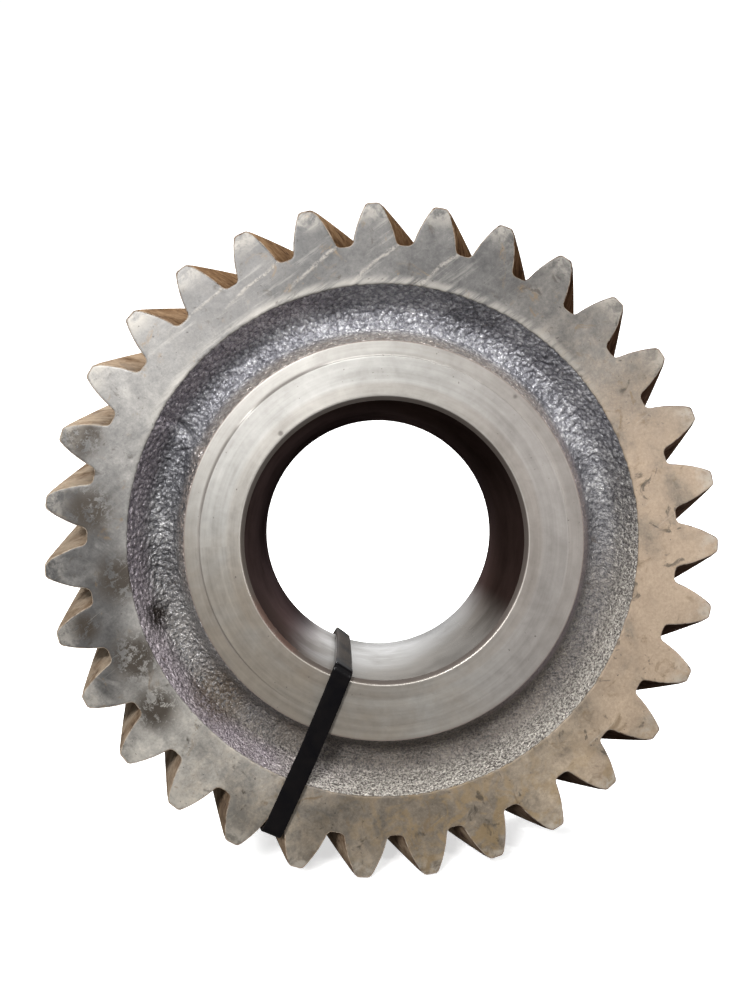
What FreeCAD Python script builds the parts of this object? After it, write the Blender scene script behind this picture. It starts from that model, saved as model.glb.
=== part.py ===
import FreeCAD, Part
import math
import os

import Sketcher
from FreeCAD import Matrix, Placement, Rotation, Vector

# Helical gear, one forging, with the nylon cable tie that is looped round its rim.
# Row frame, millimetres: the gear's axis lies along Y, the machined front faces look
# towards -Y, +Z is up, and the origin is the middle of the bore.

DIMENSIONS = (
    ("teeth", 31, "number of teeth"),
    ("normal_module", 4.5, "module square to the tooth"),
    ("helix_angle", 20, "right hand, degrees at the pitch circle"),
    ("pressure_angle", 20, "degrees, square to the tooth"),
    ("profile_shift", 0.28, "in modules"),
    ("tip_radius", 80, "outside radius of the teeth"),
    ("root_radius", 69.9, "bottom of the tooth gaps"),
    ("form_radius", 72.1, "where the involute meets the root curve"),
    ("tip_chamfer", 0.5, "on both ends of the teeth"),
    ("rim_width", 40, "face width of the teeth"),
    ("hub_length", 48, "the hub stands proud of the rim at the back"),
    ("bore_radius", 33.3, "ground bore"),
    ("bore_chamfer", 1.0, "on both ends of the bore"),
    ("hub_radius", 47.6, "outside of the hub where its end face stops"),
    ("step_radius", 43.7, "outside of the hub's raised thrust face"),
    ("step_depth", 0.25, "height of that thrust face"),
    ("recess_radius", 60.6, "inside of the rim where its end face stops"),
    ("recess_depth", 9.0, "forged recess, on both sides"),
    ("hub_draft", 4.0, "how far the hub's wall slopes out over the recess"),
    ("rim_draft", 3.4, "how far the rim's wall slopes in over the recess"),
    ("recess_fillet", 3.7, "root of both walls"),
    ("strap_width", 4.8, "cable tie"),
    ("strap_thickness", 1.3, "cable tie"),
    ("strap_gap", 0.1, "between the strap and the steel"),
    ("seat_radius", 73.1, "inner side of the strap in the tooth gap"),
    ("strap_bend", 1.6, "radius of the strap's bends round the rim, at mid thickness"),
    ("strap_start", 49.3, "where the strap's solids begin, outside the hub"),
    ("gap_number", 13, "tooth gap that holds the strap, counted from the top"),
    ("strap_lean", 2.6, "degrees from the gap round to the strap in the bore"),
    ("tail_skew", 3.2, "degrees that the strap turns back while it crosses the hub's back"),
    ("head_length", 7.0, "tie's head, along the strap"),
    ("head_width", 8.2, "tie's head, across the strap"),
    ("head_height", 5.0, "tie's head, away from the gear"),
    ("head_radius", 54.6, "distance of the head from the gear's axis"),
    ("head_lift", 2.2, "height of the head's root line over the hub's back face"),
    ("slot_centre", -1.2, "the strap's way through the head, from its middle"),
    ("slot_play", 0.2, "round the strap in the head's slot"),
    ("slot_drop", 0.4, "between the head and the strap that comes in under it"),
    ("slot_bend", 1.5, "radius of the strap's turn into the slot, at mid thickness"),
    ("head_rounding", 0.6, "edges of the head"),
    ("pawl_width", 3.4, "locking tongue in the head"),
    ("pawl_floor", 0.35, "height of the tongue's root over the strap's mid line"),
    ("pawl_height", 3.0, "tongue, from root to tip"),
    ("pawl_thickness", 1.15, "tongue at its root"),
    ("pawl_lean", 0.75, "how far its tip leans towards the strap"),
    ("pawl_play", 0.15, "between the tongue and its pocket"),
    ("pocket_length", 3.2, "pocket behind the strap, which the tongue bends into"),
    ("tail_length", 3.5, "trimmed end that stands out of the head"),
)

doc = FreeCAD.newDocument("helical_gear")
sheet = doc.addObject("Spreadsheet::Sheet", "sizes")
for row, (alias, value, note) in enumerate(DIMENSIONS, 1):
    sheet.set(f"A{row}", alias)
    sheet.set(f"B{row}", str(value))
    sheet.set(f"C{row}", note)
    sheet.setAlias(f"B{row}", alias)
doc.recompute()


def size(alias):
    return float(getattr(sheet, alias))


FRONT = -size("hub_length") / 2
RIM_BACK = FRONT + size("rim_width")
HUB_BACK = size("hub_length") / 2
ALONG_Y = Rotation(Vector(1, 0, 0), -90)


def polar(radius, degrees, along):
    """A point at this radius, turned anticlockwise from +X as seen from the front."""
    turn = math.radians(degrees)
    return Vector(radius * math.cos(turn), along, radius * math.sin(turn))


# ---------------------------------------------------------------- blank of the gear
# Half section: the sketch's first axis runs back along the bore, from the front face,
# and its second is the radius.
SECTION = (
    ("0", "bore_radius + bore_chamfer"),
    ("0", "step_radius"),
    ("step_depth", "step_radius"),
    ("step_depth", "hub_radius"),
    ("recess_depth", "hub_radius + hub_draft"),
    ("recess_depth", "recess_radius - rim_draft"),
    ("0", "recess_radius"),
    ("0", "tip_radius - tip_chamfer"),
    ("tip_chamfer", "tip_radius"),
    ("rim_width - tip_chamfer", "tip_radius"),
    ("rim_width", "tip_radius - tip_chamfer"),
    ("rim_width", "recess_radius"),
    ("rim_width - recess_depth", "recess_radius - rim_draft"),
    ("rim_width - recess_depth", "hub_radius + hub_draft"),
    ("hub_length - step_depth", "hub_radius"),
    ("hub_length - step_depth", "step_radius"),
    ("hub_length", "step_radius"),
    ("hub_length", "bore_radius + bore_chamfer"),
    ("hub_length - bore_chamfer", "bore_radius"),
    ("bore_chamfer", "bore_radius"),
)
FILLETED_CORNERS = (4, 5, 12, 13)


def formula(words):
    """The same sum with every alias read from the sheet."""
    return " ".join(
        f"sizes.{word}" if word[0].isalpha() else word for word in words.split()
    )


def worth(words):
    """The value of a zero or an alias, or of two aliases added or subtracted."""
    first, *rest = words.split()
    value = 0.0 if first == "0" else size(first)
    if rest:
        sign = 1 if rest[0] == "+" else -1
        value += sign * size(rest[1])
    return value


def bind_coordinate(sketch, kind, line, name, words):
    """Hold the start of a line at a distance from the sketch's origin."""
    index = sketch.addConstraint(Sketcher.Constraint(kind, -1, 1, line, 1, worth(words)))
    sketch.renameConstraint(index, name)
    sketch.setExpression(f"Constraints.{name}", formula(words))


def draw_section(sketch):
    corners = [Vector(worth(a), worth(r), 0) for a, r in SECTION]
    for start, end in zip(corners, corners[1:] + corners[:1]):
        sketch.addGeometry(Part.LineSegment(start, end), False)
    count = len(SECTION)
    for line in range(count):
        following = (line + 1) % count
        sketch.addConstraint(Sketcher.Constraint("Coincident", line, 2, following, 1))
    for line, (along, radius) in enumerate(SECTION):
        if along == "0":
            sketch.addConstraint(Sketcher.Constraint("PointOnObject", line, 1, -2))
        else:
            bind_coordinate(sketch, "DistanceX", line, f"along_{line}", along)
        bind_coordinate(sketch, "DistanceY", line, f"radius_{line}", radius)


def circle_edges(shape, places):
    """Names of the round edges that pass through the given (along, radius) corners."""
    names = []
    for number, edge in enumerate(shape.Edges, 1):
        curve = edge.Curve
        if not isinstance(curve, Part.Circle):
            continue
        for along, radius in places:
            if abs(curve.Radius - radius) < 1e-4 and abs(curve.Center.y - along) < 1e-4:
                names.append(f"Edge{number}")
    return names


def origin_plane(body, role):
    return next(f for f in body.Origin.OriginFeatures if f.Role == role)


def make_blank():
    body = doc.addObject("PartDesign::Body", "gear_blank")
    sketch = body.newObject("Sketcher::SketchObject", "half_section")
    sketch.AttachmentSupport = [(origin_plane(body, "YZ_Plane"), "")]
    sketch.MapMode = "FlatFace"
    draw_section(sketch)
    doc.recompute()
    turned = body.newObject("PartDesign::Revolution", "turned_blank")
    turned.Profile = sketch
    turned.ReferenceAxis = (sketch, ["H_Axis"])
    turned.Angle = 360
    sketch.Visibility = False
    doc.recompute()
    places = [(worth(SECTION[i][0]), worth(SECTION[i][1])) for i in FILLETED_CORNERS]
    rounded = body.newObject("PartDesign::Fillet", "recess_roots")
    rounded.Base = (turned, circle_edges(turned.Shape, places))
    rounded.setExpression("Radius", "sizes.recess_fillet")
    body.Tip = rounded
    body.setExpression("Placement.Base.y", "-sizes.hub_length / 2")
    doc.recompute()
    return body


# ---------------------------------------------------------------- teeth
def involute(angle):
    return math.tan(angle) - angle


TURN_PER_TOOTH = 2 * math.pi / size("teeth")
HELIX = math.radians(size("helix_angle"))
NORMAL_PRESSURE = math.radians(size("pressure_angle"))
PITCH_RADIUS = size("teeth") * size("normal_module") / math.cos(HELIX) / 2
TRANSVERSE_PRESSURE = math.atan(math.tan(NORMAL_PRESSURE) / math.cos(HELIX))
BASE_RADIUS = PITCH_RADIUS * math.cos(TRANSVERSE_PRESSURE)
LEAD = 2 * math.pi * PITCH_RADIUS / math.tan(HELIX)
TURN_PER_MM = 360 / LEAD


def half_tooth_angle(radius):
    """Half of the tooth's thickness at this radius, as an angle."""
    at_pitch = math.pi / 2 + 2 * size("profile_shift") * math.tan(NORMAL_PRESSURE)
    pressure = math.acos(BASE_RADIUS / radius)
    return at_pitch / size("teeth") + involute(TRANSVERSE_PRESSURE) - involute(pressure)


def tooth_outline():
    """The teeth's outline square to the axis. They run past the tips, for the blank to trim."""
    low = size("form_radius")
    high = size("tip_radius") + size("tip_chamfer")
    flank_points = 7
    radii = [low + (high - low) * i / (flank_points - 1) for i in range(flank_points)]

    def point(radius, turn):
        return Vector(radius * math.cos(turn), radius * math.sin(turn), 0)

    edges = []
    for tooth in range(int(size("teeth"))):
        middle = -math.pi / 2 + tooth * TURN_PER_TOOTH
        next_gap = middle + TURN_PER_TOOTH / 2
        rising = [point(r, middle - half_tooth_angle(r)) for r in radii]
        falling = [point(r, middle + half_tooth_angle(r)) for r in reversed(radii)]
        following = point(low, middle + TURN_PER_TOOTH - half_tooth_angle(low))
        for points in (rising, falling):
            flank = Part.BSplineCurve()
            flank.interpolate(points)
            edges.append(flank.toShape())
        tip = Part.Arc(rising[-1], point(high, middle), falling[0])
        root = Part.Arc(falling[-1], point(size("root_radius"), next_gap), following)
        edges.insert(-1, tip.toShape())
        edges.append(root.toShape())
    return Part.Wire(Part.__sortEdges__(edges))


def make_teeth():
    """The outline carried along a right-hand helix, a little past both ends of the hub."""
    margin = 2.0
    depth = size("hub_length") + 2 * margin
    outline = tooth_outline()
    outline.rotate(Vector(0, 0, 0), Vector(0, 0, 1), -margin * TURN_PER_MM)
    helix = Part.makeHelix(LEAD, depth, PITCH_RADIUS)
    pipe = Part.BRepOffsetAPI.MakePipeShell(Part.Wire(helix.Edges))
    pipe.setFrenetMode(True)
    pipe.add(outline, False, False)
    pipe.build()
    pipe.makeSolid()
    feature = doc.addObject("Part::Feature", "toothed_bar")
    feature.Shape = pipe.shape()
    feature.Placement = Placement(Vector(0, FRONT - margin, 0), ALONG_Y)
    return feature


def make_gear():
    gear = doc.addObject("Part::Common", "gear_forging")
    gear.Base = make_blank()
    gear.Tool = make_teeth()
    gear.Label = "gear"
    doc.recompute()
    return gear


# ---------------------------------------------------------------- cable tie
STRAP_HALF = size("strap_thickness") / 2
CLEAR = size("strap_gap")
GAP_ANGLE = 90 + math.degrees(TURN_PER_TOOTH) * (size("gap_number") + 0.5)
SEAT = size("seat_radius") + STRAP_HALF
CORNER = size("strap_bend")


def gap_angle(along):
    """Where the strap's tooth gap is, this far along the axis."""
    return GAP_ANGLE - (along - FRONT) * TURN_PER_MM


def station(centre, width_way, thick_way):
    """The strap's rectangular section at one place on its way."""
    across = width_way * (size("strap_width") / 2)
    out = thick_way * STRAP_HALF
    corners = [centre + across + out, centre - across + out]
    corners += [centre - across - out, centre + across - out]
    return Part.makePolygon(corners + corners[:1])


def crosswise(way, out):
    across = way.cross(out)
    across.normalize()
    return across


def run_frame(start, end, out):
    """Direction of a straight run, its width direction and its outward direction."""
    way = end - start
    way.normalize()
    across = crosswise(way, out)
    square_out = across.cross(way)
    square_out.normalize()
    return way, across, square_out


def gap_station(along):
    """The strap's section in the tooth gap, lying along the helix."""
    centre = polar(SEAT, gap_angle(along), along)
    ahead = polar(SEAT, gap_angle(along + 1), along + 1)
    out = polar(1, gap_angle(along), 0)
    across = crosswise(ahead - centre, out)
    return centre, across, out


def bend_station(first, second, corner_centre):
    """The section halfway round a bend between two runs."""
    across = first[1] + second[1]
    across.normalize()
    out = first[2] + second[2]
    out.normalize()
    return corner_centre + out * (CORNER * math.sqrt(0.5)), across, out


FRONT_PLANE = FRONT - CLEAR - STRAP_HALF
FRONT_OUTER = polar(SEAT - CORNER, GAP_ANGLE, FRONT_PLANE)
FRONT_INNER = polar(
    size("strap_start"), GAP_ANGLE + size("strap_lean") / 2, FRONT_PLANE
)
BACK_ANGLE = gap_angle(RIM_BACK)
BORE_ANGLE = GAP_ANGLE + size("strap_lean")
TAIL_ANGLE = BORE_ANGLE - size("tail_skew")
BACK_OUTER = polar(SEAT - CORNER, BACK_ANGLE, RIM_BACK + CLEAR + STRAP_HALF)


def back_way_point(radius, lift):
    """A point over the back of the gear, between the tooth gap and the bore."""
    hub = polar(size("hub_radius"), TAIL_ANGLE, HUB_BACK + lift)
    share = (SEAT - CORNER - radius) / (SEAT - CORNER - size("hub_radius"))
    return BACK_OUTER + (hub - BACK_OUTER) * share


HEAD_CENTRE = back_way_point(size("head_radius"), size("head_lift"))
BACK_WAY, BACK_ACROSS, BACK_OUT = run_frame(HEAD_CENTRE, BACK_OUTER, Vector(0, 1, 0))


def on_head(along, out, across=0.0):
    """A point in the head's own directions, from its middle."""
    return HEAD_CENTRE + BACK_WAY * along + BACK_OUT * out + BACK_ACROSS * across


def make_strap():
    """From over the front recess, round the rim in its tooth gap, to the side of the head."""
    front = run_frame(FRONT_INNER, FRONT_OUTER, Vector(0, -1, 0))
    first = gap_station(FRONT + CORNER)
    last = gap_station(RIM_BACK - CORNER)
    front_corner = polar(SEAT - CORNER, GAP_ANGLE, FRONT_PLANE + CORNER)
    back_corner = polar(SEAT - CORNER, BACK_ANGLE, RIM_BACK + CLEAR + STRAP_HALF - CORNER)
    back = (BACK_WAY, BACK_ACROSS * -1, BACK_OUT)
    front_across = front[1] if front[1].dot(first[1]) > 0 else front[1] * -1
    back_across = back[1] if back[1].dot(last[1]) > 0 else back[1] * -1
    stations = [(FRONT_INNER, front_across, front[2]), (FRONT_OUTER, front_across, front[2])]
    stations.append(bend_station((0, front_across, front[2]), first, front_corner))
    steps = 6
    span = size("rim_width") - 2 * CORNER
    stations += [gap_station(FRONT + CORNER + span * i / steps) for i in range(steps + 1)]
    stations.append(bend_station(last, (0, back_across, back[2]), back_corner))
    stations.append((BACK_OUTER, back_across, back[2]))
    stations.append((on_head(size("head_length") / 2, 0), back_across, back[2]))
    feature = doc.addObject("Part::Feature", "strap")
    feature.Shape = Part.makeLoft([station(*s) for s in stations], True, True)
    feature.Label = "tie_strap"
    return feature


def make_tail():
    """The strap's free end: up from the hub, round under the head and out through its slot."""
    middle = size("slot_centre")
    under = -size("slot_drop") - 2 * STRAP_HALF
    turn = size("slot_bend")
    start = polar(size("strap_start"), TAIL_ANGLE, HUB_BACK)
    start_across, start_out = run_frame(start, on_head(middle - turn, under), BACK_OUT)[1:]
    side = BACK_ACROSS if BACK_ACROSS.dot(start_across) > 0 else BACK_ACROSS * -1
    stations = [(start, start_across, start_out)]
    for degrees in (0, 30, 60, 90):
        angle = math.radians(degrees)
        along = middle - turn * (1 - math.sin(angle))
        centre = on_head(along, under + turn * (1 - math.cos(angle)))
        out = BACK_OUT * math.cos(angle) - BACK_WAY * math.sin(angle)
        stations.append((centre, side, out))
    top = size("head_height") - STRAP_HALF + size("tail_length")
    stations.append((on_head(middle, top), side, BACK_WAY * -1))
    feature = doc.addObject("Part::Feature", "tail")
    feature.Shape = Part.makeLoft([station(*s) for s in stations], True, True)
    feature.Label = "tie_tail"
    return feature


def head_placement():
    """Takes the head's own X, Y and Z to along the strap, across it and away from the gear."""
    across = BACK_OUT.cross(BACK_WAY)
    turn = Matrix(
        BACK_WAY.x, across.x, BACK_OUT.x, HEAD_CENTRE.x,
        BACK_WAY.y, across.y, BACK_OUT.y, HEAD_CENTRE.y,
        BACK_WAY.z, across.z, BACK_OUT.z, HEAD_CENTRE.z,
        0, 0, 0, 1,
    )
    return Placement(turn)


def sheet_box(name, sizes, corner):
    """A box whose three sizes and low corner are sums from the sheet."""
    box = doc.addObject("Part::Box", name)
    for side, words in zip(("Length", "Width", "Height"), sizes):
        box.setExpression(side, words)
    for axis, words in zip("xyz", corner):
        box.setExpression(f"Placement.Base.{axis}", words)
    return box


PAWL_NEAR = size("slot_centre") + STRAP_HALF + size("pawl_play")


def pawl_profile():
    """Side of the tongue, in the head's along and out directions: root, tip and back."""
    root = PAWL_NEAR + size("pawl_lean")
    floor = size("pawl_floor")
    top = floor + size("pawl_height")
    blunt = size("pawl_height") / 5
    return [
        Vector(root, 0, floor),
        Vector(PAWL_NEAR, 0, top - 2 * blunt),
        Vector(PAWL_NEAR, 0, top - blunt),
        Vector(root, 0, top),
        Vector(root + size("pawl_thickness"), 0, floor),
    ]


def make_head():
    wide = "sizes.strap_width + 2 * sizes.slot_play"
    block = sheet_box(
        "head_block",
        ("sizes.head_length", "sizes.head_width", "sizes.head_height"),
        ("-sizes.head_length / 2", "-sizes.head_width / 2", "-sizes.strap_thickness / 2"),
    )
    slot = sheet_box(
        "head_slot",
        ("sizes.strap_thickness + 2 * sizes.slot_play", wide, "2 * sizes.head_height"),
        (
            "sizes.slot_centre - sizes.strap_thickness / 2 - sizes.slot_play",
            "-sizes.strap_width / 2 - sizes.slot_play",
            "-sizes.head_height",
        ),
    )
    pocket = sheet_box(
        "pawl_pocket",
        ("sizes.pocket_length", "sizes.pawl_width + 2 * sizes.pawl_play", "sizes.head_height"),
        (
            "sizes.slot_centre",
            "-sizes.pawl_width / 2 - sizes.pawl_play",
            "sizes.pawl_floor - sizes.pawl_play",
        ),
    )
    softened = doc.addObject("Part::Fillet", "head_soft_edges")
    softened.Base = block
    doc.recompute()
    rounding = size("head_rounding")
    softened.Edges = [(n, rounding, rounding) for n in range(1, len(block.Shape.Edges) + 1)]
    openings = doc.addObject("Part::Fuse", "head_openings")
    openings.Base = slot
    openings.Tool = pocket
    head = doc.addObject("Part::Cut", "head")
    head.Base = softened
    head.Tool = openings
    head.Placement = head_placement()
    head.Label = "tie_head"
    return head


def make_pawl():
    outline = pawl_profile()
    face = Part.Face(Part.makePolygon(outline + outline[:1]))
    face.translate(Vector(0, -size("pawl_width") / 2, 0))
    feature = doc.addObject("Part::Feature", "pawl")
    feature.Shape = face.extrude(Vector(0, size("pawl_width"), 0))
    feature.Placement = head_placement()
    feature.Label = "tie_pawl"
    return feature


PARTS = [make_gear(), make_strap(), make_tail(), make_head(), make_pawl()]
doc.recompute()

for item in doc.Objects:
    if "Invalid" in item.State or "Error" in item.State:
        raise RuntimeError(f"{item.Name} did not recompute: {item.State}")
for item in PARTS:
    if item.Shape.isNull() or not item.Shape.isValid():
        raise RuntimeError(f"{item.Label} has no valid shape")

os.makedirs("parts", exist_ok=True)
for item in PARTS:
    item.Shape.exportStep(f"parts/{item.Label}.step")
    print(item.Label, len(item.Shape.Solids), round(item.Shape.Volume, 1))

HINGE_ALONG = PAWL_NEAR + size("pawl_lean") + size("pawl_thickness") / 2
HINGE = on_head(HINGE_ALONG, size("pawl_floor"))
HINGE_AXIS = BACK_OUT.cross(BACK_WAY)
print("pawl hinge at", [round(v, 3) for v in HINGE], [round(v, 5) for v in HINGE_AXIS])
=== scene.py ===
import math

import bpy
import numpy as np
from mathutils import Matrix, Vector, noise


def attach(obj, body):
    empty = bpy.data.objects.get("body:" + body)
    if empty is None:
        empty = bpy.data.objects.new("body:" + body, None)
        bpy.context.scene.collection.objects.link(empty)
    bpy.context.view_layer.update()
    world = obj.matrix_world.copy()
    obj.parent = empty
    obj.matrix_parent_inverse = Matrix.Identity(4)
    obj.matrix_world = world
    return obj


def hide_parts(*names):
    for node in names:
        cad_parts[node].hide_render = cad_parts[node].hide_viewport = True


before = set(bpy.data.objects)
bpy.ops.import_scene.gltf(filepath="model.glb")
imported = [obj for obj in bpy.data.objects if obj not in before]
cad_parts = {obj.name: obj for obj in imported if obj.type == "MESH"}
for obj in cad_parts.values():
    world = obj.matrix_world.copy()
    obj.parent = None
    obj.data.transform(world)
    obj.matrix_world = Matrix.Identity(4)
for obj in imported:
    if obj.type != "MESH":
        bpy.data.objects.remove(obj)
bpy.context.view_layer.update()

# Millimetres in the row frame: the gear's axis lies along Y, its front faces towards -Y, +Z is up.
MM = 0.001

TEETH = 31
TURN = 2 * math.pi / TEETH
MODULE = 4.5
HELIX = math.radians(20)
PRESSURE = math.radians(20)
SHIFT = 0.28
TIP_R = 80.0
ROOT_R = 69.9
FORM_R = 72.1
ROOT_FILLET = 1.35
PITCH_R = TEETH * MODULE / math.cos(HELIX) / 2
FACE_PRESSURE = math.atan(math.tan(PRESSURE) / math.cos(HELIX))
BASE_R = PITCH_R * math.cos(FACE_PRESSURE)
TWIST = math.tan(HELIX) / PITCH_R

FRONT = -24.0
RIM_BACK = 16.0
HUB_BACK = 24.0
BORE_R = 33.3
BORE_CHAMFER = 1.0
STEP_R = 43.7
STEP = 0.25
HUB_R = 47.6
RECESS_R = 60.6
RECESS_DEPTH = 9.0
HUB_DRAFT = 4.0
RIM_DRAFT = 3.4
RECESS_FILLET = 3.7

HALF_TOOTH_POINTS = 16
COLUMNS = 2 * HALF_TOOTH_POINTS * TEETH


def polar(radius, degrees, along):
    turn = math.radians(degrees)
    return Vector((radius * math.cos(turn), along, radius * math.sin(turn)))


def smooth(low, high, value):
    """0 below low, 1 above high, with soft ends. Works on arrays."""
    t = np.clip((value - low) / (high - low), 0, 1)
    return t * t * (3 - 2 * t)


def arc_way(first, last, sweep, share):
    """The way from an arc's centre to the point this share of the sweep round from first."""
    before, after = math.sin((1 - share) * sweep), math.sin(share * sweep)
    return (first * before + last * after) / math.sin(sweep)


# ---------------------------------------------------------------- meshes
def tube_faces(rings, count):
    """Quads between rings of this many points, numbered one ring after another."""
    faces = []
    for start in range(0, (rings - 1) * count, count):
        for i in range(count):
            a, b = start + i, start + (i + 1) % count
            faces.append((a, b, b + count, a + count))
    return faces


def mesh_object(name, points, faces, materials, face_materials=None, sharp=32):
    mesh = bpy.data.meshes.new(name)
    mesh.from_pydata((np.asarray(points) * MM).tolist(), [], faces)
    for material in materials:
        mesh.materials.append(material)
    if face_materials is not None:
        mesh.polygons.foreach_set("material_index", face_materials)
    mesh.validate()
    mesh.update()
    mesh.polygons.foreach_set("use_smooth", [True] * len(mesh.polygons))
    mesh.set_sharp_from_angle(angle=math.radians(sharp))
    item = bpy.data.objects.new(name, mesh)
    bpy.context.scene.collection.objects.link(item)
    return item


class Rings:
    """A closed skin made of rings of points, each joined to the one before it."""

    def __init__(self):
        self.points = []
        self.faces = []
        self.slots = []
        self.starts = []
        self.counts = []

    def add(self, ring, slot):
        """slot is the material between this ring and the one before it."""
        self.starts.append(len(self.points))
        self.counts.append(len(ring))
        self.points.extend(ring)
        if len(self.starts) > 1:
            self.join(len(self.starts) - 2, len(self.starts) - 1, slot)

    def join(self, first, second, slot):
        a, na = self.starts[first], self.counts[first]
        b, nb = self.starts[second], self.counts[second]
        before = len(self.faces)
        if na == nb:
            for i in range(na):
                j = (i + 1) % na
                self.faces.append((b + i, b + j, a + j, a + i))
        elif na > nb:
            self.step_down(a, na, b, nb, False)
        else:
            self.step_down(b, nb, a, na, True)
        self.slots.extend([slot] * (len(self.faces) - before))

    def step_down(self, fine, count, coarse, coarse_count, turned):
        """Joins a fine ring to a coarse one whose points stand beside every share-th fine one."""
        share = count // coarse_count
        for k in range(coarse_count):
            c0, c1 = coarse + k, coarse + (k + 1) % coarse_count
            for s in range(share):
                f0 = fine + k * share + s
                f1 = fine + (k * share + s + 1) % count
                near = c0 if s < share / 2 else c1
                face = (f0, f1, near)
                self.faces.append(face if turned else face[::-1])
                if s + 1 == (share + 1) // 2:
                    face = (f1, c1, c0)
                    self.faces.append(face if turned else face[::-1])

    def close(self, slot):
        self.join(len(self.starts) - 1, 0, slot)


# ---------------------------------------------------------------- gear shape
def involute(angle):
    return math.tan(angle) - angle


def half_tooth_angle(radius):
    at_pitch = (math.pi / 2 + 2 * SHIFT * math.tan(PRESSURE)) / TEETH
    return at_pitch + involute(FACE_PRESSURE) - involute(math.acos(BASE_R / radius))


def flank_point(radius):
    turn = half_tooth_angle(radius)
    return np.array([radius * math.sin(turn), radius * math.cos(turn)])


def half_tooth():
    """One half of a tooth, from the middle of its tip to the middle of the gap, tooth upright."""
    rounding = 1.15
    radii = np.linspace(FORM_R, TIP_R, 300)
    flank = np.array([flank_point(r) for r in radii])
    low, high = 0.0, half_tooth_angle(TIP_R)
    for _ in range(40):
        turn = (low + high) / 2
        centre = (TIP_R - rounding) * np.array([math.sin(turn), math.cos(turn)])
        gap = np.hypot(*(flank - centre).T)
        if gap.min() > rounding:
            low = turn
        else:
            high = turn
    touch = radii[gap.argmin()]
    start = centre * TIP_R / (TIP_R - rounding)
    end = flank_point(touch)
    first = math.atan2(*(start - centre)[::-1])
    last = math.atan2(*(end - centre)[::-1])
    points = [np.array([0.0, TIP_R]), start]
    for i in range(1, 4):
        turn = first + (last - first) * i / 4
        points.append(centre + rounding * np.array([math.cos(turn), math.sin(turn)]))
    points += [flank_point(touch + (FORM_R - touch) * i / 6) for i in range(7)]
    gap_way = np.array([math.sin(TURN / 2), math.cos(TURN / 2)])
    bottom = ROOT_R * gap_way
    form = points[-1]
    down = form - flank_point(FORM_R + 0.1)
    down /= np.hypot(*down)
    side = np.array([-gap_way[1], gap_way[0]])
    inside = np.array([-down[1], down[0]])
    if inside @ side > 0:
        inside = -inside
    height = (form - bottom) @ gap_way
    drop = (ROOT_FILLET * (1 - inside @ gap_way) - height) / (down @ gap_way)
    touch = form + down * drop
    middle = touch + inside * ROOT_FILLET
    first, last = touch - middle, -ROOT_FILLET * gap_way
    sweep = math.acos(float(first @ last) / ROOT_FILLET**2)
    points += [middle + arc_way(first, last, sweep, i / 3) for i in range(4)]
    points.append(bottom)
    return points


def outline():
    """The whole toothed outline at the front: angle, radius and how wide its edge break is."""
    half = half_tooth()
    turns = np.array([math.atan2(p[0], p[1]) for p in half])
    radii = np.array([math.hypot(*p) for p in half])
    turns = np.concatenate([turns[:-1], (TURN - turns)[:0:-1]])
    radii = np.concatenate([radii[:-1], radii[:0:-1]])
    all_turns = np.concatenate([math.pi / 2 + k * TURN + turns for k in range(TEETH)])
    all_radii = np.tile(radii, TEETH)
    flat = np.c_[all_radii * np.cos(all_turns), all_radii * np.sin(all_turns)]
    ahead = np.roll(flat, -1, 0) - np.roll(flat, 1, 0)
    inward = np.c_[-ahead[:, 1], ahead[:, 0]]
    inward /= np.hypot(*inward.T)[:, None]
    breaks = 0.22 + 0.26 * smooth(TIP_R - 1.2, TIP_R - 0.3, all_radii)
    wander = np.array([noise.noise(Vector((*(p / 3.1), 4.0))) for p in flat])
    breaks = breaks * (1 + 0.45 * wander)
    return flat, inward, breaks


def turned(flat, along, twist):
    """A flat outline put at this place on the axis and turned along the helix."""
    c, s = math.cos(-twist), math.sin(-twist)
    x = flat[:, 0] * c - flat[:, 1] * s
    z = flat[:, 0] * s + flat[:, 1] * c
    return np.c_[x, np.broadcast_to(along, len(x)), z]


def circle(radius, along, count, twist=0.0):
    turns = math.pi / 2 + np.arange(count) * 2 * math.pi / count - twist
    radius = np.broadcast_to(radius, count)
    return np.c_[radius * np.cos(turns), np.broadcast_to(along, count), radius * np.sin(turns)]


def rounded_profile(corners, step):
    """A smooth line through corners given as (radius, along, rounding), in even steps."""
    line = [np.array(corners[0][:2])]
    for before, corner, after in zip(corners, corners[1:], corners[2:]):
        here = np.array(corner[:2])
        a = np.array(before[:2]) - here
        b = np.array(after[:2]) - here
        a /= np.hypot(*a)
        b /= np.hypot(*b)
        half = math.acos(float(np.clip(a @ b, -1, 1))) / 2
        reach = corner[2] / math.tan(half)
        centre = here + (a + b) / np.hypot(*(a + b)) * corner[2] / math.sin(half)
        first, last = here + a * reach - centre, here + b * reach - centre
        sweep = math.acos(float(np.clip(first @ last / corner[2] ** 2, -1, 1)))
        line += [centre + arc_way(first, last, sweep, i / 12) for i in range(13)]
    line.append(np.array(corners[-1][:2]))
    line = np.array(line)
    length = np.r_[0, np.cumsum(np.hypot(*np.diff(line, axis=0).T))]
    count = int(round(length[-1] / step))
    at = np.linspace(0, length[-1], count + 1)
    return np.c_[np.interp(at, length, line[:, 0]), np.interp(at, length, line[:, 1])]


def skin_height(place):
    """How far the forged skin stands off its smooth shape at one place."""
    broad = noise.noise(place / 11.0)
    middling = noise.noise(place / 3.4 + Vector((7.0, 1.0, 3.0)))
    warp = noise.noise_vector(place / 2.6) * 0.8
    pebble = noise.noise((place + warp) / 0.95)
    fine = noise.noise((place + warp) / 0.62 + Vector((2.0, 9.0, 5.0)))
    ridged = 0.5 - abs(noise.noise((place + warp * 1.5) / 1.5 + Vector((5.0, 5.0, 1.0))))
    return 0.18 * broad + 0.10 * middling + 0.26 * pebble + 0.10 * fine + 0.06 * ridged


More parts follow.
